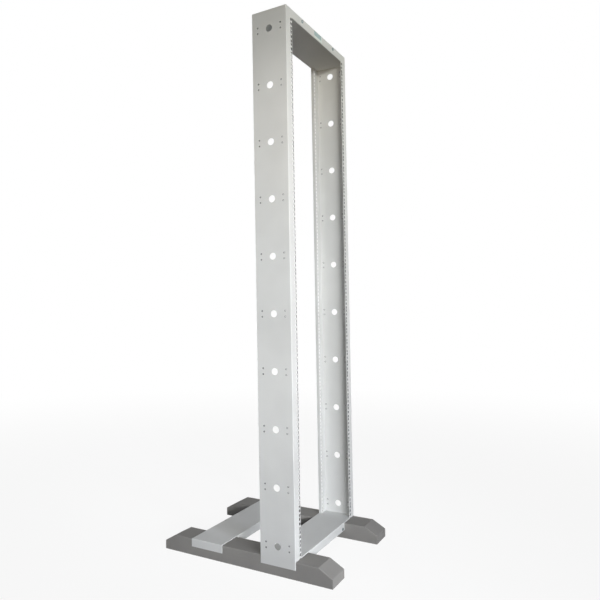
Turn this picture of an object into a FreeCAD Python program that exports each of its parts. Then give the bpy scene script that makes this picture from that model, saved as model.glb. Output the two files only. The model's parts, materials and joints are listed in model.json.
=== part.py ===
import FreeCAD, Part, Sketcher
import os

# Two post open frame rack, 42 units high, folded from steel sheet.
# Frame: +Z up, +X to the right of someone facing the front, +Y to the rear, origin on the floor
# under the middle of the feet. Lengths are in millimetres.

doc = FreeCAD.newDocument("open_rack")
sheet = doc.addObject("Spreadsheet::Sheet", "sizes")

# Driving dimensions
driving = {
    # Equipment space
    "rack_units": 42,
    "unit_pitch": 44.45,
    "opening_width": 450,
    "hole_inset": 7.55,
    "low_hole": 6.35,
    "hole_step": 15.875,
    "square_hole": 9.5,
    "space_margin": 6,
    "top_margin": 2,
    # Folded sheet
    "sheet_steel": 2,
    "bend_inside": 0.5,
    # Uprights
    "flange_width": 45,
    "upright_depth": 135,
    "web_drop": 27,
    "web_hole": 25,
    "web_hole_pitch": 200,
    "web_hole_count": 10,
    "web_hole_down": 66,
    "pair_hole": 5.5,
    "pair_across": 90,
    "pair_height": 20,
    # Rear mounting rails
    "rail_depth": 13,
    # Beams and rear tie
    "beam_height": 30,
    "tie_depth": 135,
    "tie_distance": 162,
    # Feet
    "foot_length": 690,
    "foot_width": 100,
    "foot_height": 60,
    "foot_end_height": 32,
    "foot_slope_run": 50,
    "foot_reach": 133,
    "foot_edge": 3,
}
for row, (alias, value) in enumerate(driving.items(), start=1):
    sheet.set("A%d" % row, alias)
    sheet.set("B%d" % row, str(value))
    sheet.setAlias("B%d" % row, alias)
doc.recompute()

# Derived sizes, as expressions on the cells
steel = "sizes.sheet_steel"
outside_bend = "(sizes.bend_inside + sizes.sheet_steel)"
overall = "(sizes.opening_width + 2 * sizes.flange_width)"
front = "(sizes.foot_reach - sizes.foot_length / 2)"
deck_top = "(sizes.foot_height + sizes.sheet_steel)"
space_bottom = "(%s + sizes.space_margin)" % deck_top
space_height = "(sizes.rack_units * sizes.unit_pitch)"
roof_bottom = "(%s + %s + sizes.top_margin)" % (space_bottom, space_height)
rack_top = "(%s + sizes.beam_height)" % roof_bottom
web_bottom = "(sizes.foot_height - sizes.web_drop)"
web_height = "(%s - %s)" % (rack_top, web_bottom)
between_webs = "(%s - 2 * sizes.sheet_steel)" % overall
between_feet = "(%s - 2 * sizes.foot_width)" % between_webs
hole_from_web = "(sizes.flange_width - sizes.hole_inset)"
tie_front = "(%s + sizes.upright_depth + sizes.tie_distance)" % front


def valueOf(expression):
    """The present value of an expression, to draw a sketch near its solved place."""
    return float(sheet.evalExpression(expression))


def newBody(name, x, y, z):
    """A named body whose own origin stands at x, y, z."""
    body = doc.addObject("PartDesign::Body", name)
    body.Label = name
    for axis, place in zip("xyz", (x, y, z)):
        body.setExpression("Placement.Base." + axis, place)
    return body


def originPart(body, role):
    return next(item for item in body.Origin.OriginFeatures if item.Role == role)


def newSketch(body, name, plane):
    sketch = body.newObject("Sketcher::SketchObject", name)
    sketch.AttachmentSupport = [(originPart(body, plane), "")]
    sketch.MapMode = "FlatFace"
    return sketch


def bind(sketch, constraint, expression):
    index = sketch.addConstraint(constraint)
    sketch.setExpression("Constraints[%d]" % index, expression)


def addOutline(sketch, corners):
    """A closed outline, each corner placed by two expressions from the sketch origin."""
    values = [tuple(valueOf(term) for term in corner) for corner in corners]
    first = sketch.GeometryCount
    for index, (x, y) in enumerate(values):
        next_x, next_y = values[(index + 1) % len(values)]
        start = FreeCAD.Vector(x, y, 0)
        end = FreeCAD.Vector(next_x, next_y, 0)
        sketch.addGeometry(Part.LineSegment(start, end), False)
    for index, corner in enumerate(corners):
        line = first + index
        following = first + (index + 1) % len(corners)
        sketch.addConstraint(Sketcher.Constraint("Coincident", line, 2, following, 1))
        for kind, term, value in zip(("DistanceX", "DistanceY"), corner, values[index]):
            bind(sketch, Sketcher.Constraint(kind, -1, 1, line, 1, value), term)


def addSquare(sketch, x, y, side):
    """A square hole centred at x, y."""
    low_x, high_x = ("(%s - %s / 2)" % (x, side), "(%s + %s / 2)" % (x, side))
    low_y, high_y = ("(%s - %s / 2)" % (y, side), "(%s + %s / 2)" % (y, side))
    addOutline(sketch, [(low_x, low_y), (high_x, low_y), (high_x, high_y), (low_x, high_y)])


def addHexagon(sketch, x, y, across):
    """A small six-sided hole centred at x, y, with flats above and below."""
    left, low_left = ("(%s - %s / sqrt(3))" % (x, across), "(%s - %s / sqrt(12))" % (x, across))
    right, low_right = ("(%s + %s / sqrt(3))" % (x, across), "(%s + %s / sqrt(12))" % (x, across))
    below, above = ("(%s - %s / 2)" % (y, across), "(%s + %s / 2)" % (y, across))
    addOutline(sketch, [(left, y), (low_left, below), (low_right, below),
                        (right, y), (low_right, above), (low_left, above)])


def addCircle(sketch, x, y, diameter):
    """A round hole centred at x, y."""
    centre = FreeCAD.Vector(valueOf(x), valueOf(y), 0)
    radius = valueOf(diameter) / 2
    index = sketch.addGeometry(Part.Circle(centre, FreeCAD.Vector(0, 0, 1), radius), False)
    bind(sketch, Sketcher.Constraint("DistanceX", -1, 1, index, 3, centre.x), x)
    bind(sketch, Sketcher.Constraint("DistanceY", -1, 1, index, 3, centre.y), y)
    bind(sketch, Sketcher.Constraint("Diameter", index, 2 * radius), diameter)


def pad(body, name, sketch, length, symmetric=False):
    feature = body.newObject("PartDesign::Pad", name)
    feature.Profile = sketch
    feature.setExpression("Length", length)
    feature.SideType = "Symmetric" if symmetric else "One side"
    doc.recompute()
    return feature


def cutThrough(body, name, sketch):
    """Cuts a sketch through the whole body, both ways from its plane."""
    before = body.Shape.Volume
    feature = body.newObject("PartDesign::Pocket", name)
    feature.Profile = sketch
    feature.Type = "ThroughAll"
    feature.SideType = "Symmetric"
    doc.recompute()
    if body.Shape.Volume >= before:
        raise RuntimeError(name + " cuts nothing")
    return feature


def repeatUp(body, name, feature, pitch, count):
    """Repeats a feature upwards, count times in all."""
    pattern = body.newObject("PartDesign::LinearPattern", name)
    pattern.Originals = [feature]
    pattern.Direction = (originPart(body, "Z_Axis"), [""])
    pattern.Mode = "Spacing"
    pattern.setExpression("Offset", pitch)
    pattern.setExpression("Occurrences", count)
    body.Tip = pattern
    doc.recompute()
    return pattern


def roundEdges(body, name, feature, radius, wanted):
    """Rounds the straight edges whose middle passes the test wanted."""
    names = []
    for index, edge in enumerate(feature.Shape.Edges, start=1):
        if wanted(edge.CenterOfMass, edge.tangentAt(edge.FirstParameter)):
            names.append("Edge%d" % index)
    fillet = body.newObject("PartDesign::Fillet", name)
    fillet.Base = (feature, names)
    fillet.setExpression("Radius", radius)
    doc.recompute()
    return fillet


def near(value, expression):
    """Whether a coordinate is that of the expression, within a hundredth of a millimetre."""
    return abs(value - valueOf(expression)) < 0.01


def runsAlong(direction, axis):
    """Whether an edge runs along an axis, and not across it."""
    return abs(getattr(direction, axis)) > 0.9


# Uprights
def upright(name, side):
    """A tall angle: the web outside, the front mounting flange turned inwards."""
    inward = -side
    body = newBody(name, "%d * %s / 2" % (side, overall), front, web_bottom)
    flange = "%d * sizes.flange_width" % inward
    wall = "%d * sizes.sheet_steel" % inward
    section = newSketch(body, name + "_section", "XY_Plane")
    addOutline(section, [("0", "0"), (flange, "0"), (flange, steel), (wall, steel),
                         (wall, "sizes.upright_depth"), ("0", "sizes.upright_depth")])
    post = pad(body, name + "_post", section, web_height)

    def outerBend(middle, direction):
        return runsAlong(direction, "z") and near(middle.x, "0") and near(middle.y, "0")

    def innerBend(middle, direction):
        return runsAlong(direction, "z") and near(middle.x, wall) and near(middle.y, steel)

    post = roundEdges(body, name + "_outer_bend", post, outside_bend, outerBend)
    post = roundEdges(body, name + "_inner_bend", post, "sizes.bend_inside", innerBend)

    # The flange stands on the bottom beam, and only the web runs down over the foot
    notch = newSketch(body, name + "_flange_end", "XZ_Plane")
    flange_foot = "(%s - %s)" % (deck_top, web_bottom)
    past_flange = "%d * (sizes.flange_width + sizes.sheet_steel)" % inward
    below = "(0 - sizes.sheet_steel)"
    addOutline(notch, [(wall, below), (past_flange, below),
                       (past_flange, flange_foot), (wall, flange_foot)])
    cutThrough(body, name + "_flange_notch", notch)

    # Big hole with two pairs of small ones, ten times up the web
    lowest = ("(%s - sizes.web_hole_down - (sizes.web_hole_count - 1) * sizes.web_hole_pitch)"
              % web_height)
    holes = newSketch(body, name + "_web_holes", "YZ_Plane")
    addCircle(holes, "sizes.upright_depth / 2", lowest, "sizes.web_hole")
    for across in (-1, 1):
        for up in (-1, 1):
            addHexagon(holes, "(sizes.upright_depth + %d * sizes.pair_across) / 2" % across,
                       "(%s + %d * sizes.pair_height / 2)" % (lowest, up), "sizes.pair_hole")
    group = cutThrough(body, name + "_web_group", holes)
    repeatUp(body, name + "_web_groups", group, "sizes.web_hole_pitch", "sizes.web_hole_count")

    mountingHoles(body, name, "%d * %s" % (inward, hole_from_web),
                  "(%s - %s)" % (space_bottom, web_bottom))
    return body


def mountingHoles(body, name, column, bottom):
    """Three square holes in each rack unit, up the whole equipment space."""
    unit = newSketch(body, name + "_unit_holes", "XZ_Plane")
    for step in range(3):
        height = "(%s + sizes.low_hole + %d * sizes.hole_step)" % (bottom, step)
        addSquare(unit, column, height, "sizes.square_hole")
    cut = cutThrough(body, name + "_unit_cut", unit)
    repeatUp(body, name + "_units", cut, "sizes.unit_pitch", "sizes.rack_units")


# Rear mounting rails
def rearRail(name, side):
    """A perforated channel inside the web's rear edge, open to the rear."""
    inward = -side
    web_inside = "(%s / 2 - sizes.sheet_steel)" % overall
    rail_front = "(%s + sizes.upright_depth - sizes.rail_depth)" % front
    body = newBody(name, "%d * %s" % (side, web_inside), rail_front, deck_top)
    wall = "%d * sizes.sheet_steel" % inward
    width = "%d * (sizes.flange_width - sizes.sheet_steel)" % inward
    lip = "%d * (sizes.flange_width - 2 * sizes.sheet_steel)" % inward
    depth = "sizes.rail_depth"
    section = newSketch(body, name + "_section", "XY_Plane")
    addOutline(section, [("0", "0"), (width, "0"), (width, depth), (lip, depth),
                         (lip, steel), (wall, steel), (wall, depth), ("0", depth)])
    rail = pad(body, name + "_channel", section, "%s - %s" % (roof_bottom, deck_top))

    def outerBend(middle, direction):
        return runsAlong(direction, "z") and near(middle.y, "0")

    def innerBend(middle, direction):
        return runsAlong(direction, "z") and near(middle.y, steel)

    rail = roundEdges(body, name + "_outer_bends", rail, outside_bend, outerBend)
    roundEdges(body, name + "_inner_bends", rail, "sizes.bend_inside", innerBend)
    mountingHoles(body, name, "%d * (%s - sizes.sheet_steel)" % (inward, hole_from_web),
                  "sizes.space_margin")
    return body


# Beams and rear tie
def channel(name, y, z, half_width, depth, height, turned):
    """A wide channel across the rack: a plate with its two long edges folded up or down."""
    body = newBody(name, "0", y, z)
    tip = "%d * %s" % (turned, height)
    inner = "%d * sizes.sheet_steel" % turned
    section = newSketch(body, name + "_section", "YZ_Plane")
    addOutline(section, [("0", "0"), (depth, "0"), (depth, tip), ("(%s - %s)" % (depth, steel), tip),
                         ("(%s - %s)" % (depth, steel), inner), (steel, inner),
                         (steel, tip), ("0", tip)])
    beam = pad(body, name + "_channel", section, "2 * " + half_width, symmetric=True)

    def outerBend(middle, direction):
        return runsAlong(direction, "x") and near(middle.z, "0")

    def innerBend(middle, direction):
        inside = near(middle.y, steel) or near(middle.y, "(%s - %s)" % (depth, steel))
        return runsAlong(direction, "x") and inside and near(middle.z, inner)

    beam = roundEdges(body, name + "_outer_bends", beam, outside_bend, outerBend)
    roundEdges(body, name + "_inner_bends", beam, "sizes.bend_inside", innerBend)
    return body


def cutEnds(body, name, start, end, low, high, plane="XZ_Plane"):
    """Cuts the same block from both ends of a beam, seen from the front or from above."""
    ends = newSketch(body, name + "_ends", plane)
    for side in (-1, 1):
        near_end = "%d * %s" % (side, start)
        far_end = "%d * %s" % (side, end)
        addOutline(ends, [(near_end, low), (far_end, low), (far_end, high), (near_end, high)])
    return cutThrough(body, name + "_end_cut", ends)


def bottomBeam():
    """Its plate lies on both feet, and its folded edges hang between them."""
    name = "bottom_beam"
    half = "(%s / 2)" % between_webs
    body = channel(name, front, deck_top, half, "sizes.upright_depth", "sizes.beam_height", -1)
    past_end = "(%s + sizes.sheet_steel)" % half
    below = "(0 - sizes.beam_height - sizes.sheet_steel)"
    cutEnds(body, name, "(%s / 2)" % between_feet, past_end, below, "(0 - sizes.sheet_steel)")
    return body


def topBeam():
    """Its plate closes the top of the frame, and its folded edges stand up at front and rear."""
    name = "top_beam"
    half = "(%s / 2)" % between_webs
    body = channel(name, front, roof_bottom, half, "sizes.upright_depth", "sizes.beam_height", 1)
    past_end = "(%s + sizes.sheet_steel)" % half
    before_front = "(0 - sizes.sheet_steel)"
    cutEnds(body, name, "(sizes.opening_width / 2)", past_end, before_front, steel, "XY_Plane")
    return body


def shellFromBelow(body, name, feature):
    """Hollows a block from its lowest face, and leaves the sheet's thickness."""
    lowest = min(range(len(feature.Shape.Faces)),
                 key=lambda index: feature.Shape.Faces[index].CenterOfMass.z)
    shell = body.newObject("PartDesign::Thickness", name)
    shell.Base = (feature, ["Face%d" % (lowest + 1)])
    shell.setExpression("Value", steel)
    shell.Mode = "Skin"
    shell.Join = "Arc"
    shell.Reversed = True
    doc.recompute()
    return shell


def rearTie():
    """A shallow tray turned upside down: it lies on both feet and grips their outer sides."""
    name = "rear_tie"
    body = newBody(name, "0", tie_front, deck_top)
    half = "(%s / 2)" % overall
    tray = newSketch(body, name + "_outline", "XY_Plane")
    left = "(0 - %s)" % half
    addOutline(tray, [(left, "0"), (half, "0"), (half, "sizes.tie_depth"), (left, "sizes.tie_depth")])
    block = pad(body, name + "_block", tray, "sizes.beam_height")
    block.Reversed = True
    doc.recompute()

    def topEdge(middle, direction):
        return near(middle.z, "0")

    block = roundEdges(body, name + "_bends", block, outside_bend, topEdge)
    shellFromBelow(body, name + "_shell", block)
    past_foot = "(%s / 2)" % between_webs
    below = "(0 - sizes.beam_height - sizes.sheet_steel)"
    cutEnds(body, name, "(%s / 2)" % between_feet, past_foot, below, "(0 - sizes.sheet_steel)")
    return body


# Feet
def foot(name, side):
    """A long hollow foot, open below, with a slope and a short upright face at both ends."""
    outer = "%d * %s / 2" % (side, between_webs)
    body = newBody(name, outer, "(0 - sizes.foot_length / 2)", "0")
    profile = newSketch(body, name + "_profile", "YZ_Plane")
    slope_end = "(sizes.foot_length - sizes.foot_slope_run)"
    addOutline(profile, [("0", "0"), ("sizes.foot_length", "0"),
                         ("sizes.foot_length", "sizes.foot_end_height"),
                         (slope_end, "sizes.foot_height"),
                         ("sizes.foot_slope_run", "sizes.foot_height"),
                         ("0", "sizes.foot_end_height")])
    block = pad(body, name + "_block", profile, "sizes.foot_width")
    block.Reversed = side > 0
    doc.recompute()

    shell = shellFromBelow(body, name + "_shell", block)
    inner = "%d * sizes.foot_width" % -side

    def outerEdge(middle, direction):
        on_side = near(middle.x, "0") or near(middle.x, inner)
        on_end = near(middle.y, "0") or near(middle.y, "sizes.foot_length")
        crease = runsAlong(direction, "x") and near(middle.z, "sizes.foot_height")
        at_top_of_end = near(middle.z, "sizes.foot_end_height")
        above = at_top_of_end or middle.z > valueOf("sizes.foot_end_height")
        return (on_side and above) or (on_end and above) or crease

    roundEdges(body, name + "_soft_edges", shell, "sizes.foot_edge", outerEdge)
    return body


pieces = []
for prefix, side in (("left", -1), ("right", 1)):
    pieces.append(upright(prefix + "_upright", side))
    pieces.append(rearRail(prefix + "_rear_rail", side))
    pieces.append(foot(prefix + "_foot", side))
pieces += [topBeam(), bottomBeam(), rearTie()]
doc.recompute()

for item in doc.Objects:
    if "Invalid" in item.State or "Error" in item.State:
        raise RuntimeError(item.Label + " failed")
for piece in pieces:
    if piece.Shape.isNull() or not piece.Shape.isValid() or len(piece.Shape.Solids) != 1:
        raise RuntimeError(piece.Label + " is not one sound solid")

os.makedirs("parts", exist_ok=True)
for piece in pieces:
    piece.Shape.exportStep("parts/%s.step" % piece.Label)
    print(piece.Label, round(piece.Shape.Volume), piece.Shape.BoundBox)
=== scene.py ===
import json
import math

import bpy
from mathutils import Matrix, Vector


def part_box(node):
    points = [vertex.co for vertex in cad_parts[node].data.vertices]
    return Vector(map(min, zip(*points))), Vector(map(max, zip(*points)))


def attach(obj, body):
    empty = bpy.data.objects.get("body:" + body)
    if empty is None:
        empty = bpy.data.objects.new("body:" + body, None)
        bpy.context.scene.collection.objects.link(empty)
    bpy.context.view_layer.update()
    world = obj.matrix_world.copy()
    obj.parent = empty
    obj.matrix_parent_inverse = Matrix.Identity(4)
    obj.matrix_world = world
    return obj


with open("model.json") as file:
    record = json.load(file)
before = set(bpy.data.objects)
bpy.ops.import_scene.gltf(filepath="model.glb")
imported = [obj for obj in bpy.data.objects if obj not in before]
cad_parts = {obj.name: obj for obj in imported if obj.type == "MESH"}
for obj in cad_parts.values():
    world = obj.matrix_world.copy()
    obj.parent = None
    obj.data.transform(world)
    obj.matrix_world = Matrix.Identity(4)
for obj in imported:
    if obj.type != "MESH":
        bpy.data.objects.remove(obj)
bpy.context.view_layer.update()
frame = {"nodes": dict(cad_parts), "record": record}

millimetre = 0.001


def linear(hexColour):
    # An sRGB hex colour as a linear RGBA value.
    parts = [int(hexColour[i:i + 2], 16) / 255 for i in (1, 3, 5)]
    straight = [p / 12.92 if p <= 0.04045 else ((p + 0.055) / 1.055) ** 2.4 for p in parts]
    return straight + [1.0]


def addNode(tree, kind, inputs=None, **settings):
    # Adds a node: settings are its own properties, inputs are values or sockets by name or number.
    node = tree.nodes.new(kind)
    for name, value in settings.items():
        setattr(node, name, value)
    for name, value in (inputs or {}).items():
        if isinstance(value, bpy.types.NodeSocket):
            tree.links.new(value, node.inputs[name])
        else:
            node.inputs[name].default_value = value
    return node


def newMaterial(name):
    material = bpy.data.materials.new(name)
    material.use_nodes = True
    material.node_tree.nodes.clear()
    return material


def surfaceNoise(tree, position, size, detail=2.0):
    # A noise whose cells are about size metres across.
    return addNode(tree, "ShaderNodeTexNoise",
                   {"Vector": position, "Scale": 1 / size, "Detail": detail, "Roughness": 0.5})


print("scene: frame loaded,", len(frame["nodes"]), "nodes")


# The two coats of paint
lightCoat = {
    "colour": "#D9DAD8",
    "thinColour": "#D2D3D1",
    "cloudSize": 180 * millimetre,
    "speck": 1.6 * millimetre,      # a grain of 0.1 mm, drawn coarser so that it shows
    "speckDepth": 0.03,
    "peelSize": 2.4 * millimetre,
    "peelDepth": 0.03 * millimetre,
    "roughLow": 0.46,
    "roughHigh": 0.56,
    "gloss": 0.22,
}
darkCoat = {
    "colour": "#969490",
    "thinColour": "#8E8C89",
    "cloudSize": 140 * millimetre,
    "speck": 1.6 * millimetre,
    "speckDepth": 0.06,
    "peelSize": 2.4 * millimetre,
    "peelDepth": 0.04 * millimetre,
    "roughLow": 0.50,
    "roughHigh": 0.62,
    "gloss": 0.04,
}
film = {
    "ior": 1.5,          # polyester
    "thinBelow": 0.35,   # of the cloud noise, for the colour
    "thickAbove": 0.65,
    "smoothBelow": 0.3,  # of the same noise, for the roughness
    "roughAbove": 0.7,
}
holeWallShade = {
    # painted shade: the near-black of the square holes' walls
    "colour": "#232426",
    "columnAcross": 232.55 * millimetre,    # the column's middle, from the middle of the rack
    "columnHalf": 5.3 * millimetre,
    "flangeMiddle": -211 * millimetre,
    "flangeHalf": 0.95 * millimetre,
}


def nearTo(tree, value, target, reach):
    return addNode(tree, "ShaderNodeMath", {0: value, 1: target, 2: reach},
                   operation="COMPARE").outputs[0]


def paintedShadeHoleWalls(tree, position, coat):
    # The walls of the square holes in the front flange, coloured nearly black: painted shade for
    # the dark seen through these holes.
    axes = addNode(tree, "ShaderNodeSeparateXYZ", {0: position})
    across = addNode(tree, "ShaderNodeMath", {0: axes.outputs["X"]}, operation="ABSOLUTE")
    inColumn = nearTo(tree, across.outputs[0], holeWallShade["columnAcross"],
                      holeWallShade["columnHalf"])
    inSheet = nearTo(tree, axes.outputs["Y"], holeWallShade["flangeMiddle"],
                     holeWallShade["flangeHalf"])
    wall = addNode(tree, "ShaderNodeMath", {0: inColumn, 1: inSheet}, operation="MULTIPLY")
    return addNode(tree, "ShaderNodeMix",
                   {"Factor": wall.outputs[0], 6: coat, 7: linear(holeWallShade["colour"])},
                   data_type="RGBA").outputs[2]


def powderCoat(name, look):
    # Polyester powder coat on steel sheet, sprayed dry and baked: an even satin skin, hardly
    # lighter or darker where it lies thin, with the fine dimples that makers call orange peel.
    material = newMaterial(name)
    tree = material.node_tree
    position = addNode(tree, "ShaderNodeTexCoord").outputs["Object"]
    cloud = surfaceNoise(tree, position, look["cloudSize"])
    speck = surfaceNoise(tree, position, look["speck"], detail=1.0)
    peel = surfaceNoise(tree, position, look["peelSize"], detail=1.0)
    thickness = addNode(tree, "ShaderNodeMapRange",
                        {"Value": cloud.outputs["Fac"], "From Min": film["thinBelow"],
                         "From Max": film["thickAbove"]})
    colour = addNode(tree, "ShaderNodeMix",
                     {"Factor": thickness.outputs["Result"], 6: linear(look["thinColour"]),
                      7: linear(look["colour"])}, data_type="RGBA")
    shade = addNode(tree, "ShaderNodeMapRange",
                    {"Value": speck.outputs["Fac"], "To Min": 1 - look["speckDepth"],
                     "To Max": 1 + look["speckDepth"]})
    speckled = addNode(tree, "ShaderNodeVectorMath",
                       {0: colour.outputs[2], "Scale": shade.outputs["Result"]}, operation="SCALE")
    rough = addNode(tree, "ShaderNodeMapRange",
                    {"Value": cloud.outputs["Fac"], "From Min": film["smoothBelow"],
                     "From Max": film["roughAbove"], "To Min": look["roughLow"],
                     "To Max": look["roughHigh"]})
    bump = addNode(tree, "ShaderNodeBump",
                   {"Height": peel.outputs["Fac"], "Strength": 1.0, "Distance": look["peelDepth"]})
    paint = addNode(tree, "ShaderNodeBsdfPrincipled",
                    # the walls of the flange's square holes take painted shade
                    {"Base Color": paintedShadeHoleWalls(tree, position, speckled.outputs["Vector"]),
                     "Roughness": rough.outputs["Result"], "IOR": film["ior"],
                     "Specular IOR Level": look["gloss"], "Normal": bump.outputs["Normal"]})
    addNode(tree, "ShaderNodeOutputMaterial", {"Surface": paint.outputs["BSDF"]})
    return material


def paintNodes():
    coats = {"light_grey_coat": powderCoat("lightGreyPowderCoat", lightCoat),
             "dark_grey_coat": powderCoat("darkGreyPowderCoat", darkCoat)}
    for part in frame["record"]["subparts"]:
        node = frame["nodes"][part["node"]]
        for slot in node.material_slots:
            slot.material = coats[part["material_slot"]]


paintNodes()
print("scene: steel painted")


# Screws
screw = {
    "headRadius": 5.6 * millimetre,
    "headHeight": 3.4 * millimetre,
    "washerRadius": 6.4 * millimetre,
    "washerHeight": 1.0 * millimetre,
    "recessLength": 6.4 * millimetre,
    "recessWidth": 1.3 * millimetre,
    "recessDepth": 2.0 * millimetre,
    "domeWidth": 1.15,      # of the ball that forms the head, against its radius
    "segments": 32,
    "smoothAngle": 30,      # degrees up to which an edge is shaded round
    "colour": "#A9B2B2",
    "dullColour": "#8B9698",
    "cloudSize": 1.5 * millimetre,
    "cloudDepth": 0.02 * millimetre,
    "roughLow": 0.28,
    "roughHigh": 0.46,
    "seed": 7,
}
screwPlaces = {
    "topAcross": 140 * millimetre,      # from the middle of the top beam
    "topDown": 10 * millimetre,         # below its upper edge
    "bottomAcross": 149 * millimetre,   # from the middle of the bottom beam
    "bottomUp": 9.0 * millimetre,       # above its lower edge
}


def zincPlate():
    # Steel screws, zinc plated and blue passivated: a bright metal with a cool tint and fine
    # cloudy unevenness from the barrel.
    material = newMaterial("bluePassivatedZinc")
    tree = material.node_tree
    position = addNode(tree, "ShaderNodeTexCoord").outputs["Object"]
    cloud = surfaceNoise(tree, position, screw["cloudSize"], detail=3.0)
    tint = addNode(tree, "ShaderNodeMix",
                   {"Factor": cloud.outputs["Fac"], 6: linear(screw["dullColour"]),
                    7: linear(screw["colour"])}, data_type="RGBA")
    rough = addNode(tree, "ShaderNodeMapRange",
                    {"Value": cloud.outputs["Fac"], "To Min": screw["roughLow"],
                     "To Max": screw["roughHigh"]})
    bump = addNode(tree, "ShaderNodeBump",
                   {"Height": cloud.outputs["Fac"], "Distance": screw["cloudDepth"]})
    metal = addNode(tree, "ShaderNodeBsdfPrincipled",
                    {"Base Color": tint.outputs[2], "Metallic": 1.0,
                     "Roughness": rough.outputs["Result"], "Normal": bump.outputs["Normal"]})
    addNode(tree, "ShaderNodeOutputMaterial", {"Surface": metal.outputs["BSDF"]})
    return material


def screwTree():
    # Pan head screws with a cross recess and a plain washer, one on each point, facing forwards.
    tree = bpy.data.node_groups.new("panHeadScrews", "GeometryNodeTree")
    face = tree.interface
    face.new_socket("Geometry", in_out="INPUT", socket_type="NodeSocketGeometry")
    for name in ("Head Radius", "Head Height", "Washer Radius", "Washer Height",
                 "Recess Length", "Recess Width", "Recess Depth"):
        face.new_socket(name, in_out="INPUT", socket_type="NodeSocketFloat")
    face.new_socket("Seed", in_out="INPUT", socket_type="NodeSocketInt")
    face.new_socket("Material", in_out="INPUT", socket_type="NodeSocketMaterial")
    face.new_socket("Geometry", in_out="OUTPUT", socket_type="NodeSocketGeometry")
    given = addNode(tree, "NodeGroupInput").outputs

    def times(value, factor):
        return addNode(tree, "ShaderNodeMath", {0: value, 1: factor},
                       operation="MULTIPLY").outputs[0]

    def vector(x, y, z):
        return addNode(tree, "ShaderNodeCombineXYZ", {0: x, 1: y, 2: z}).outputs[0]

    def moved(mesh, height, scale=None):
        inputs = {"Geometry": mesh, "Translation": vector(0.0, 0.0, height)}
        if scale is not None:
            inputs["Scale"] = scale
        return addNode(tree, "GeometryNodeTransform", inputs).outputs["Geometry"]

    washer = addNode(tree, "GeometryNodeMeshCylinder",
                     {"Vertices": screw["segments"], "Radius": given["Washer Radius"],
                      "Depth": given["Washer Height"]}).outputs["Mesh"]
    washer = moved(washer, times(given["Washer Height"], 0.5))
    # The head is a flattened ball cut by a cylinder, so that its rim stands upright.
    barrel = addNode(tree, "GeometryNodeMeshCylinder",
                     {"Vertices": screw["segments"], "Radius": given["Head Radius"],
                      "Depth": given["Head Height"]}).outputs["Mesh"]
    barrel = moved(barrel, times(given["Head Height"], 0.5))
    ball = addNode(tree, "GeometryNodeMeshUVSphere",
                   {"Segments": screw["segments"], "Rings": screw["segments"] // 2,
                    "Radius": 1.0}).outputs["Mesh"]
    wide = times(given["Head Radius"], screw["domeWidth"])
    ball = moved(ball, 0.0, vector(wide, wide, given["Head Height"]))
    head = addNode(tree, "GeometryNodeMeshBoolean", operation="INTERSECT")
    tree.links.new(ball, head.inputs["Mesh 2"])
    tree.links.new(barrel, head.inputs["Mesh 2"])
    cuts = []
    for turned in (False, True):
        sides = (given["Recess Length"], given["Recess Width"])
        sides = sides[::-1] if turned else sides
        block = addNode(tree, "GeometryNodeMeshCube",
                        {"Size": vector(*sides, times(given["Recess Depth"], 2.0))}).outputs["Mesh"]
        cuts.append(moved(block, given["Head Height"]))
    recessed = addNode(tree, "GeometryNodeMeshBoolean",
                       {"Mesh 1": head.outputs["Mesh"]}, operation="DIFFERENCE")
    for block in cuts:
        tree.links.new(block, recessed.inputs["Mesh 2"])
    seated = moved(recessed.outputs["Mesh"], given["Washer Height"])
    whole = addNode(tree, "GeometryNodeJoinGeometry")
    tree.links.new(washer, whole.inputs[0])
    tree.links.new(seated, whole.inputs[0])
    spin = addNode(tree, "FunctionNodeRandomValue",
                   {2: 0.0, 3: math.tau, "Seed": given["Seed"]}, data_type="FLOAT")
    placed = addNode(tree, "GeometryNodeInstanceOnPoints",
                     {"Points": given["Geometry"], "Instance": whole.outputs[0],
                      "Rotation": (math.radians(90), 0.0, 0.0)})
    turnedRound = addNode(tree, "GeometryNodeRotateInstances",
                          {"Instances": placed.outputs["Instances"],
                           "Rotation": vector(0.0, 0.0, spin.outputs[1]), "Local Space": True})
    real = addNode(tree, "GeometryNodeRealizeInstances", {"Geometry": turnedRound.outputs[0]})
    angle = addNode(tree, "GeometryNodeInputMeshEdgeAngle").outputs["Unsigned Angle"]
    soft = addNode(tree, "FunctionNodeCompare",
                   {0: angle, 1: math.radians(screw["smoothAngle"])},
                   operation="LESS_THAN", data_type="FLOAT")
    smooth = addNode(tree, "GeometryNodeSetShadeSmooth",
                     {"Geometry": real.outputs[0], "Shade Smooth": soft.outputs[0]}, domain="EDGE")
    coated = addNode(tree, "GeometryNodeSetMaterial",
                     {"Geometry": smooth.outputs[0], "Material": given["Material"]})
    addNode(tree, "NodeGroupOutput", {"Geometry": coated.outputs[0]})
    return tree


def growMesh(name, points, tree, values):
    # Runs a geometry tree on a set of points and keeps the result as a plain mesh.
    seedMesh = bpy.data.meshes.new(name + "Points")
    seedMesh.from_pydata(points, [], [])
    piece = bpy.data.objects.new(name, seedMesh)
    bpy.context.scene.collection.objects.link(piece)
    modifier = piece.modifiers.new("grow", "NODES")
    modifier.node_group = tree
    for item in tree.interface.items_tree:
        if item.in_out == "INPUT" and item.name in values:
            modifier[item.identifier] = values[item.name]
    shown = piece.evaluated_get(bpy.context.evaluated_depsgraph_get())
    grown = bpy.data.meshes.new_from_object(shown)
    piece.modifiers.remove(modifier)
    piece.data = grown
    return piece


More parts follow.
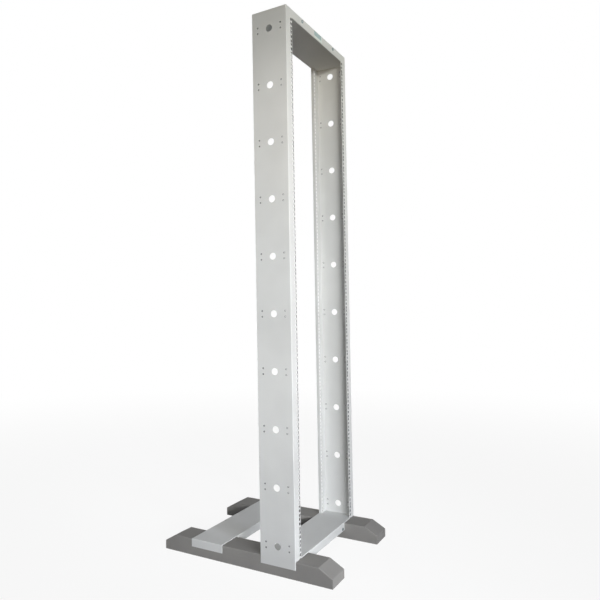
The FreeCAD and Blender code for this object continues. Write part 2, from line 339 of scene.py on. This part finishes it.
def addScrews():
    topLow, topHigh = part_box("top_beam")
    bottomLow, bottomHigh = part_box("bottom_beam")
    points = []
    for side in (-1, 1):
        points.append((side * screwPlaces["topAcross"], topLow.y,
                       topHigh.z - screwPlaces["topDown"]))
        points.append((side * screwPlaces["bottomAcross"], bottomLow.y,
                       bottomLow.z + screwPlaces["bottomUp"]))
    values = {"Head Radius": screw["headRadius"], "Head Height": screw["headHeight"],
              "Washer Radius": screw["washerRadius"], "Washer Height": screw["washerHeight"],
              "Recess Length": screw["recessLength"], "Recess Width": screw["recessWidth"],
              "Recess Depth": screw["recessDepth"], "Seed": screw["seed"], "Material": zincPlate()}
    screws = growMesh("frontScrews", points, screwTree(), values)
    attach(screws, "root")
    print("scene: screws,", len(screws.data.polygons), "faces")


addScrews()


# Threads in the small holes, nearly black: painted shade for the dark seen through them
thread = {
    "outerRadius": 3.15 * millimetre,
    "innerRadius": 1.80 * millimetre,
    "ridge": 0.55 * millimetre,
    "pitch": 0.72 * millimetre,
    "levels": 10,
    "firstUp": 100.9 * millimetre,
    "levelPitch": 200 * millimetre,
    "pairAcross": 45 * millimetre,
    "pairUp": 10 * millimetre,
    "sheetMiddle": 1 * millimetre,      # in from the outside of the web
    "segments": 18,
    # painted shade: near-black tones for the dark seen through the small holes
    "colour": "#2B2C2F",
    "deepShadeColour": "#232426",
    "grainSize": 0.6 * millimetre,
    "grainDepth": 0.02 * millimetre,
    "roughLow": 0.5,
    "roughHigh": 0.7,
    "gloss": 0.3,
}


def threadShadeSteel():
    # Dull, nearly black steel for the threads: painted shade for the dark seen through the small
    # holes, with a fine grain.
    material = newMaterial("threadsPaintedShade")
    tree = material.node_tree
    position = addNode(tree, "ShaderNodeTexCoord").outputs["Object"]
    grain = surfaceNoise(tree, position, thread["grainSize"])
    shade = addNode(tree, "ShaderNodeMix",
                    {"Factor": grain.outputs["Fac"], 6: linear(thread["deepShadeColour"]),
                     7: linear(thread["colour"])}, data_type="RGBA")
    rough = addNode(tree, "ShaderNodeMapRange",
                    {"Value": grain.outputs["Fac"], "To Min": thread["roughLow"],
                     "To Max": thread["roughHigh"]})
    bump = addNode(tree, "ShaderNodeBump",
                   {"Height": grain.outputs["Fac"], "Distance": thread["grainDepth"]})
    steel = addNode(tree, "ShaderNodeBsdfPrincipled",
                    {"Base Color": shade.outputs[2], "Roughness": rough.outputs["Result"],
                     "Specular IOR Level": thread["gloss"], "Normal": bump.outputs["Normal"]})
    addNode(tree, "ShaderNodeOutputMaterial", {"Surface": steel.outputs["BSDF"]})
    return material


def threadTree():
    # Three turns of thread on each point, drawn as rings in the thickness of the sheet.
    tree = bpy.data.node_groups.new("tappedThreads", "GeometryNodeTree")
    face = tree.interface
    face.new_socket("Geometry", in_out="INPUT", socket_type="NodeSocketGeometry")
    for name in ("Outer Radius", "Inner Radius", "Ridge", "Pitch"):
        face.new_socket(name, in_out="INPUT", socket_type="NodeSocketFloat")
    face.new_socket("Material", in_out="INPUT", socket_type="NodeSocketMaterial")
    face.new_socket("Geometry", in_out="OUTPUT", socket_type="NodeSocketGeometry")
    given = addNode(tree, "NodeGroupInput").outputs

    def combine(value, other, operation):
        return addNode(tree, "ShaderNodeMath", {0: value, 1: other}, operation=operation).outputs[0]

    middle = combine(combine(given["Outer Radius"], given["Inner Radius"], "ADD"), 0.5, "MULTIPLY")
    depth = combine(given["Outer Radius"], given["Inner Radius"], "SUBTRACT")
    path = addNode(tree, "GeometryNodeCurvePrimitiveCircle",
                   {"Resolution": thread["segments"], "Radius": middle})
    section = addNode(tree, "GeometryNodeCurvePrimitiveQuadrilateral",
                      {"Width": depth, "Height": given["Ridge"]})
    ring = addNode(tree, "GeometryNodeCurveToMesh",
                   {"Curve": path.outputs["Curve"], "Profile Curve": section.outputs["Curve"]})
    turns = addNode(tree, "GeometryNodeJoinGeometry")
    for step in (-1, 0, 1):
        offset = addNode(tree, "ShaderNodeCombineXYZ",
                         {2: combine(given["Pitch"], float(step), "MULTIPLY")})
        turn = addNode(tree, "GeometryNodeTransform",
                       {"Geometry": ring.outputs["Mesh"], "Translation": offset.outputs[0]})
        tree.links.new(turn.outputs["Geometry"], turns.inputs[0])
    placed = addNode(tree, "GeometryNodeInstanceOnPoints",
                     {"Points": given["Geometry"], "Instance": turns.outputs[0],
                      "Rotation": (0.0, math.radians(90), 0.0)})
    real = addNode(tree, "GeometryNodeRealizeInstances", {"Geometry": placed.outputs["Instances"]})
    coated = addNode(tree, "GeometryNodeSetMaterial",
                     {"Geometry": real.outputs[0], "Material": given["Material"]})
    addNode(tree, "NodeGroupOutput", {"Geometry": coated.outputs[0]})
    return tree


def addThreads():
    low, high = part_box("left_upright")
    across = -low.x - thread["sheetMiddle"]
    middle = (low.y + high.y) / 2
    points = [(side * across, middle + row * thread["pairAcross"],
               thread["firstUp"] + level * thread["levelPitch"] + step * thread["pairUp"])
              for side in (-1, 1) for level in range(thread["levels"])
              for row in (-1, 1) for step in (-1, 1)]
    values = {"Outer Radius": thread["outerRadius"], "Inner Radius": thread["innerRadius"],
              "Ridge": thread["ridge"], "Pitch": thread["pitch"], "Material": threadShadeSteel()}
    threads = growMesh("smallHoleShadeThreads", points, threadTree(), values)
    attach(threads, "root")
    print("scene: threads,", len(threads.data.polygons), "faces")


addThreads()


# Label
label = {
    "width": 70 * millimetre,
    "height": 26 * millimetre,
    "thickness": 0.4 * millimetre,
    "corner": 2 * millimetre,
    "cornerSteps": 6,
    "field": "#9AB3B4",
    "band": "#DDE6E1",
    "bandHeight": 9 * millimetre,
    "bandSide": 8 * millimetre,
    "grainSize": 0.9 * millimetre,
    "grainDepth": 0.01 * millimetre,
    "inkChange": 0.04,
    "roughLow": 0.3,
    "roughHigh": 0.42,
    "ior": 1.5,
}


def labelFoil(middle):
    # A printed polyester label: a satin aqua field with a white band below and at the right end.
    material = newMaterial("printedPolyesterFoil")
    tree = material.node_tree
    position = addNode(tree, "ShaderNodeTexCoord").outputs["Object"]
    parts = addNode(tree, "ShaderNodeSeparateXYZ", {0: position})
    bandTop = middle.z - label["height"] / 2 + label["bandHeight"]
    bandLeft = middle.x + label["width"] / 2 - label["bandSide"]
    below = addNode(tree, "ShaderNodeMath", {0: parts.outputs["Z"], 1: bandTop},
                    operation="LESS_THAN")
    beside = addNode(tree, "ShaderNodeMath", {0: parts.outputs["X"], 1: bandLeft},
                     operation="GREATER_THAN")
    inBand = addNode(tree, "ShaderNodeMath", {0: below.outputs[0], 1: beside.outputs[0]},
                     operation="MAXIMUM")
    colour = addNode(tree, "ShaderNodeMix",
                     {"Factor": inBand.outputs[0], 6: linear(label["field"]),
                      7: linear(label["band"])}, data_type="RGBA")
    grain = surfaceNoise(tree, position, label["grainSize"])
    shade = addNode(tree, "ShaderNodeMapRange",
                    {"Value": grain.outputs["Fac"], "To Min": 1 - label["inkChange"],
                     "To Max": 1 + label["inkChange"]})
    ink = addNode(tree, "ShaderNodeVectorMath",
                  {0: colour.outputs[2], "Scale": shade.outputs["Result"]}, operation="SCALE")
    rough = addNode(tree, "ShaderNodeMapRange",
                    {"Value": grain.outputs["Fac"], "To Min": label["roughLow"],
                     "To Max": label["roughHigh"]})
    bump = addNode(tree, "ShaderNodeBump",
                   {"Height": grain.outputs["Fac"], "Distance": label["grainDepth"]})
    foil = addNode(tree, "ShaderNodeBsdfPrincipled",
                   {"Base Color": ink.outputs["Vector"], "Roughness": rough.outputs["Result"],
                    "IOR": label["ior"], "Normal": bump.outputs["Normal"]})
    addNode(tree, "ShaderNodeOutputMaterial", {"Surface": foil.outputs["BSDF"]})
    return material


def addLabel():
    low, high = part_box("top_beam")
    middle = Vector((0, low.y, (low.z + high.z) / 2))
    halfWide, halfHigh, corner = label["width"] / 2, label["height"] / 2, label["corner"]
    steps = label["cornerSteps"]
    outline = []
    for quarter, (sx, sz) in enumerate(((1, 1), (-1, 1), (-1, -1), (1, -1))):
        for step in range(steps + 1):
            angle = math.radians(90) * (quarter + step / steps)
            outline.append((middle.x + sx * (halfWide - corner) + corner * math.cos(angle),
                            middle.z + sz * (halfHigh - corner) + corner * math.sin(angle)))
    count = len(outline)
    front, back = middle.y - label["thickness"], middle.y
    points = [(x, front, z) for x, z in outline] + [(x, back, z) for x, z in outline]
    sides = [(i, i + count, (i + 1) % count + count, (i + 1) % count) for i in range(count)]
    mesh = bpy.data.meshes.new("label")
    faces = [tuple(range(count)), tuple(range(2 * count - 1, count - 1, -1))]
    mesh.from_pydata(points, [], faces + sides)
    mesh.materials.append(labelFoil(middle))
    piece = bpy.data.objects.new("frontLabel", mesh)
    bpy.context.scene.collection.objects.link(piece)
    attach(piece, "root")
    print("scene: label")


addLabel()


# Floor, light and camera
studio = {
    "floorSize": 60.0,
    "floorColour": "#EDEDED",
    "floorBounce": "#606060",      # what the floor throws back at the rack
    "floorGlow": 0.91,             # how white the floor is near the rack, apart from its shading
    "fadeFrom": 1.2,               # metres from the rack where the floor starts to fade
    "fadeTo": 5.0,
    "horizonStrength": 0.12,
    "zenithStrength": 0.10,
}
# Each lamp stands at a turn from the rack's left side (0) to its front (90) and at a rise, in
# degrees. It aims at a height over the uprights' depth, across from the rack's middle, and fades
# out at its reach from there. Its level is how bright a white card facing it looks.
uprightsDepth = -0.1
keyLamps = {
    "shares": {36.0: 0.12, 41.5: 0.24, 47.0: 0.28, 52.5: 0.23, 58.0: 0.13},    # of level, by turn
    "distance": 14.0,
    "rise": 10.0,
    "radius": 0.2,
    "across": -0.15,
    # aim, reach, level and colour
    "aims": {"upper": (1.25, 1.60, 0.445, "#FFFCF1"), "lower": (0.66, 1.50, 0.64, "#F3F6FF")},
}
fillLamps = {
    "front": {"turn": 100.0, "rise": 4.0, "distance": 3.5, "radius": 0.4, "aim": 1.04,
              "across": -0.62, "reach": 1.2, "level": 0.32, "colour": "#FFFCFF"},
    "crown": {"turn": 110.0, "rise": 6.0, "distance": 3.5, "radius": 0.4, "aim": 1.95,
              "across": 0.15, "reach": 0.9, "level": 0.275, "colour": "#F9FFF5"},
    "lift": {"turn": 40.0, "rise": -10.0, "distance": 4.0, "radius": 0.3, "aim": 1.85,
             "across": 0.14, "reach": 0.7, "level": 0.04, "colour": "#FFF6E4"},
    "under": {"turn": 24.0, "rise": -34.0, "distance": 2.0, "radius": 0.3, "aim": 1.92,
              "across": 0.28, "reach": 0.36, "level": 0.17, "colour": "#FFEACB"},
    "middle": {"turn": 42.0, "rise": 6.0, "distance": 7.0, "radius": 0.5, "aim": 1.04,
               "across": -0.10, "reach": 0.75, "level": 0.075, "colour": "#FFFFFB"},
    "side": {"turn": 5.0, "rise": 8.0, "distance": 7.0, "radius": 0.7, "aim": 0.90,
             "reach": 1.7, "level": 0.085, "colour": "#FFFFFB"},
    "high": {"turn": 62.0, "rise": 28.0, "distance": 7.0, "radius": 0.4, "aim": 0.10,
             "across": 0.06, "reach": 0.95, "level": 0.29, "colour": "#EEF3FF"},
    "low": {"turn": 85.0, "rise": 13.0, "distance": 3.0, "radius": 0.2, "aim": -0.06,
            "across": -0.18, "reach": 0.32, "level": 0.45, "colour": "#FAFDFF"},
    "back": {"turn": 226.0, "rise": 6.0, "distance": 7.0, "radius": 0.8, "aim": 0.90,
             "reach": 2.2, "level": 0.32, "colour": "#FFFFFF", "glints": False},
    "right": {"turn": 184.0, "rise": 0.0, "distance": 7.0, "radius": 0.8, "aim": 0.90,
              "reach": 2.2, "level": 0.20, "colour": "#FFFFFF", "glints": False},
}
viewpoint = {
    "place": (-2.1164, -1.1406, 0.9187),
    "turnRight": 57.9082,      # degrees from straight along the depth of the rack
    "tiltUp": 1.2611,
    "roll": -0.8807,
    "focal": 604.06,           # pixels, of 600
    "centreAcross": 233.815,   # where the optical axis meets the picture, in pixels
    "centreDown": 295.970,
}
pictureSide = 600
sensorWidth = 36.0


def directView(tree):
    # 1 for camera, mirror and glass rays, which see the backdrop as white.
    path = addNode(tree, "ShaderNodeLightPath").outputs
    seen = addNode(tree, "ShaderNodeMath", {0: path["Is Camera Ray"], 1: path["Is Glossy Ray"]},
                   operation="MAXIMUM")
    return addNode(tree, "ShaderNodeMath", {0: seen.outputs[0], 1: path["Is Transmission Ray"]},
                   operation="MAXIMUM").outputs[0]


def addFloor():
    half = studio["floorSize"] / 2
    mesh = bpy.data.meshes.new("floor")
    mesh.from_pydata([(-half, -half, 0), (half, -half, 0), (half, half, 0), (-half, half, 0)], [],
                     [(0, 1, 2, 3)])
    floor = bpy.data.objects.new("floor", mesh)
    bpy.context.scene.collection.objects.link(floor)
    material = newMaterial("paleFloor")
    tree = material.node_tree
    position = addNode(tree, "ShaderNodeTexCoord").outputs["Object"]
    reach = addNode(tree, "ShaderNodeVectorMath", {0: position}, operation="LENGTH")
    glow = addNode(tree, "ShaderNodeMapRange",
                   {"Value": reach.outputs["Value"], "From Min": studio["fadeFrom"],
                    "From Max": studio["fadeTo"], "To Min": studio["floorGlow"], "To Max": 1.0},
                   interpolation_type="SMOOTHSTEP")
    pale = addNode(tree, "ShaderNodeBsdfDiffuse", {"Color": linear(studio["floorColour"])})
    white = addNode(tree, "ShaderNodeEmission", {"Color": linear("#FFFFFF"), "Strength": 1.0})
    shown = addNode(tree, "ShaderNodeMixShader",
                    {0: glow.outputs["Result"], 1: pale.outputs[0], 2: white.outputs[0]})
    bounce = addNode(tree, "ShaderNodeBsdfDiffuse", {"Color": linear(studio["floorBounce"])})
    mixed = addNode(tree, "ShaderNodeMixShader",
                    {0: directView(tree), 1: bounce.outputs[0], 2: shown.outputs[0]})
    addNode(tree, "ShaderNodeOutputMaterial", {"Surface": mixed.outputs[0]})
    mesh.materials.append(material)


def addWorld():
    # A dim sky, slightly stronger at the horizon, lights the rack. Behind it a white one is seen.
    world = bpy.data.worlds.new("studio")
    world.use_nodes = True
    tree = world.node_tree
    tree.nodes.clear()
    direction = addNode(tree, "ShaderNodeTexCoord").outputs["Generated"]
    height = addNode(tree, "ShaderNodeSeparateXYZ", {0: direction}).outputs["Z"]
    light = addNode(tree, "ShaderNodeMapRange",
                    {"Value": height, "To Min": studio["horizonStrength"],
                     "To Max": studio["zenithStrength"]})
    strength = addNode(tree, "ShaderNodeMix",
                       {0: directView(tree), 2: light.outputs["Result"], 3: 1.0}, data_type="FLOAT")
    sky = addNode(tree, "ShaderNodeBackground",
                  {"Color": linear("#FFFFFF"), "Strength": strength.outputs[0]})
    addNode(tree, "ShaderNodeOutputWorld", {"Surface": sky.outputs[0]})
    bpy.context.scene.world = world


def addLamp(name, turn, rise, distance, radius, aim, reach, level, colour, across=0.0, glints=True):
    turn, rise = math.radians(turn), math.radians(rise)
    away = Vector((-math.cos(turn), -math.sin(turn), math.tan(rise))) * math.cos(rise)
    data = bpy.data.lights.new(name, "SPOT")
    data.energy = level * (2 * math.pi * distance) ** 2
    data.color = linear(colour)[:3]
    data.shadow_soft_size = radius
    data.spot_size = 2 * math.atan(reach / distance)
    data.spot_blend = 1.0
    light = bpy.data.objects.new(name, data)
    light.location = Vector((across, uprightsDepth, aim)) + away * distance
    light.rotation_euler = away.to_track_quat("Z", "Y").to_euler()
    light.visible_glossy = glints
    bpy.context.scene.collection.objects.link(light)


def addLamps():
    # The key is an arc of lamps at one height, so that upright edges throw soft shadows.
    for number, (turn, share) in enumerate(keyLamps["shares"].items()):
        for name, (aim, reach, level, colour) in keyLamps["aims"].items():
            addLamp(name + "Key" + str(number), turn, keyLamps["rise"], keyLamps["distance"],
                    keyLamps["radius"], aim, reach, level * share, colour, keyLamps["across"])
    for name, lamp in fillLamps.items():
        addLamp(name + "Fill", **lamp)


def addCamera():
    data = bpy.data.cameras.new("camera")
    data.sensor_width = sensorWidth
    data.lens = viewpoint["focal"] * sensorWidth / pictureSide
    data.shift_x = (pictureSide / 2 - viewpoint["centreAcross"]) / pictureSide
    data.shift_y = (viewpoint["centreDown"] - pictureSide / 2) / pictureSide
    camera = bpy.data.objects.new("camera", data)
    camera.matrix_world = (Matrix.Translation(viewpoint["place"])
                           @ Matrix.Rotation(math.radians(-viewpoint["turnRight"]), 4, "Z")
                           @ Matrix.Rotation(math.radians(90 + viewpoint["tiltUp"]), 4, "X")
                           @ Matrix.Rotation(math.radians(viewpoint["roll"]), 4, "Z"))
    bpy.context.scene.collection.objects.link(camera)
    bpy.context.scene.camera = camera


addFloor()
addWorld()
addLamps()
addCamera()
bpy.context.scene.view_settings.view_transform = "Standard"
print("scene: studio set")
